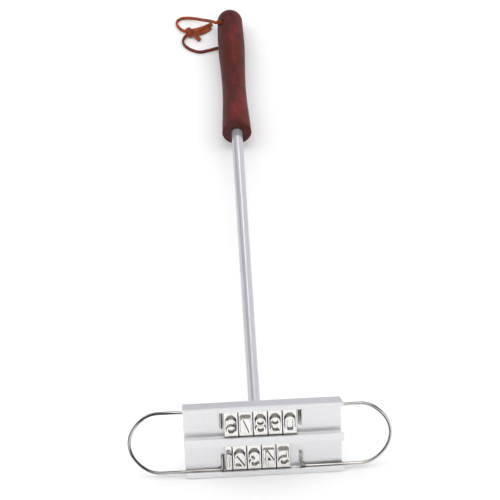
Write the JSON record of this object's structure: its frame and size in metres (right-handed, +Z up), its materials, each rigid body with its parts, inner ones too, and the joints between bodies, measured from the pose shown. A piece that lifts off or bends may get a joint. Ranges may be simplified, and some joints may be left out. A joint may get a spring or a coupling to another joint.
{
  "type": "barbecue branding iron with changeable type",
  "caption": "Hand branding iron: a two-channel metal type holder with loose mirrored figures held by wire clips, on a long straight rod with a turned wooden handle and a leather hanging lace.",
  "frame": {"origin": "middle of the type holder's underside, on the table that the tool lies on", "axes": "+X along the type holder, to the right as seen from its face; +Y along the rod from the face to the handle, level with the table; +Z up"},
  "size_m": [0.1677, 0.4407, 0.0622],
  "materials": {
    "head_aluminium": "satin extruded",
    "rod_aluminium": "drawn bright",
    "stained_wood": "red-brown stain, satin",
    "clip_wire": "bright drawn wire",
    "type_metal": "cast and plated",
    "lace_leather": "waxed lace"
  },
  "bodies": {
    "tool": {"head_channel": "head_aluminium", "rod": "rod_aluminium", "handle": "stained_wood", "strap_front_strand": "lace_leather", "strap_rear_strand": "lace_leather", "strap_knot": "lace_leather", "strap_tails": "lace_leather"},
    "left_clip": {"left_wire_clip": "clip_wire"},
    "right_clip": {"right_wire_clip": "clip_wire"},
    "type_upper_1": {"type_upper_1": "type_metal"},
    "type_upper_2": {"type_upper_2": "type_metal"},
    "type_upper_3": {"type_upper_3": "type_metal"},
    "type_upper_4": {"type_upper_4": "type_metal"},
    "type_upper_5": {"type_upper_5": "type_metal"},
    "type_lower_1": {"type_lower_1": "type_metal"},
    "type_lower_2": {"type_lower_2": "type_metal"},
    "type_lower_3": {"type_lower_3": "type_metal"},
    "type_lower_4": {"type_lower_4": "type_metal"},
    "type_lower_5": {"type_lower_5": "type_metal"}
  },
  "joints": [
    {"name": "left_clip_slide", "type": "slide", "parent": "tool", "child": "left_clip", "axis": [-1, 0, 0], "range_m": [0, 0.022]},
    {"name": "right_clip_slide", "type": "slide", "parent": "tool", "child": "right_clip", "axis": [1, 0, 0], "range_m": [0, 0.022]},
    {"name": "type_upper_1_slide", "type": "slide", "parent": "tool", "child": "type_upper_1", "axis": [1, 0, 0], "range_m": [-0.0007, 0.0002]},
    {"name": "type_upper_2_slide", "type": "slide", "parent": "type_upper_1", "child": "type_upper_2", "axis": [1, 0, 0], "range_m": [0, 0.0002]},
    {"name": "type_upper_3_slide", "type": "slide", "parent": "type_upper_2", "child": "type_upper_3", "axis": [1, 0, 0], "range_m": [0, 0.0002]},
    {"name": "type_upper_4_slide", "type": "slide", "parent": "type_upper_3", "child": "type_upper_4", "axis": [1, 0, 0], "range_m": [0, 0.0002]},
    {"name": "type_upper_5_slide", "type": "slide", "parent": "type_upper_4", "child": "type_upper_5", "axis": [1, 0, 0], "range_m": [0, 0.0002]},
    {"name": "type_lower_1_slide", "type": "slide", "parent": "tool", "child": "type_lower_1", "axis": [1, 0, 0], "range_m": [-0.0007, 0.0011]},
    {"name": "type_lower_2_slide", "type": "slide", "parent": "type_lower_1", "child": "type_lower_2", "axis": [1, 0, 0], "range_m": [0, 0.0011]},
    {"name": "type_lower_3_slide", "type": "slide", "parent": "type_lower_2", "child": "type_lower_3", "axis": [1, 0, 0], "range_m": [0, 0.0011]},
    {"name": "type_lower_4_slide", "type": "slide", "parent": "type_lower_3", "child": "type_lower_4", "axis": [1, 0, 0], "range_m": [0, 0.0011]},
    {"name": "type_lower_5_slide", "type": "slide", "parent": "type_lower_4", "child": "type_lower_5", "axis": [1, 0, 0], "range_m": [0, 0.0011]}
  ]
}
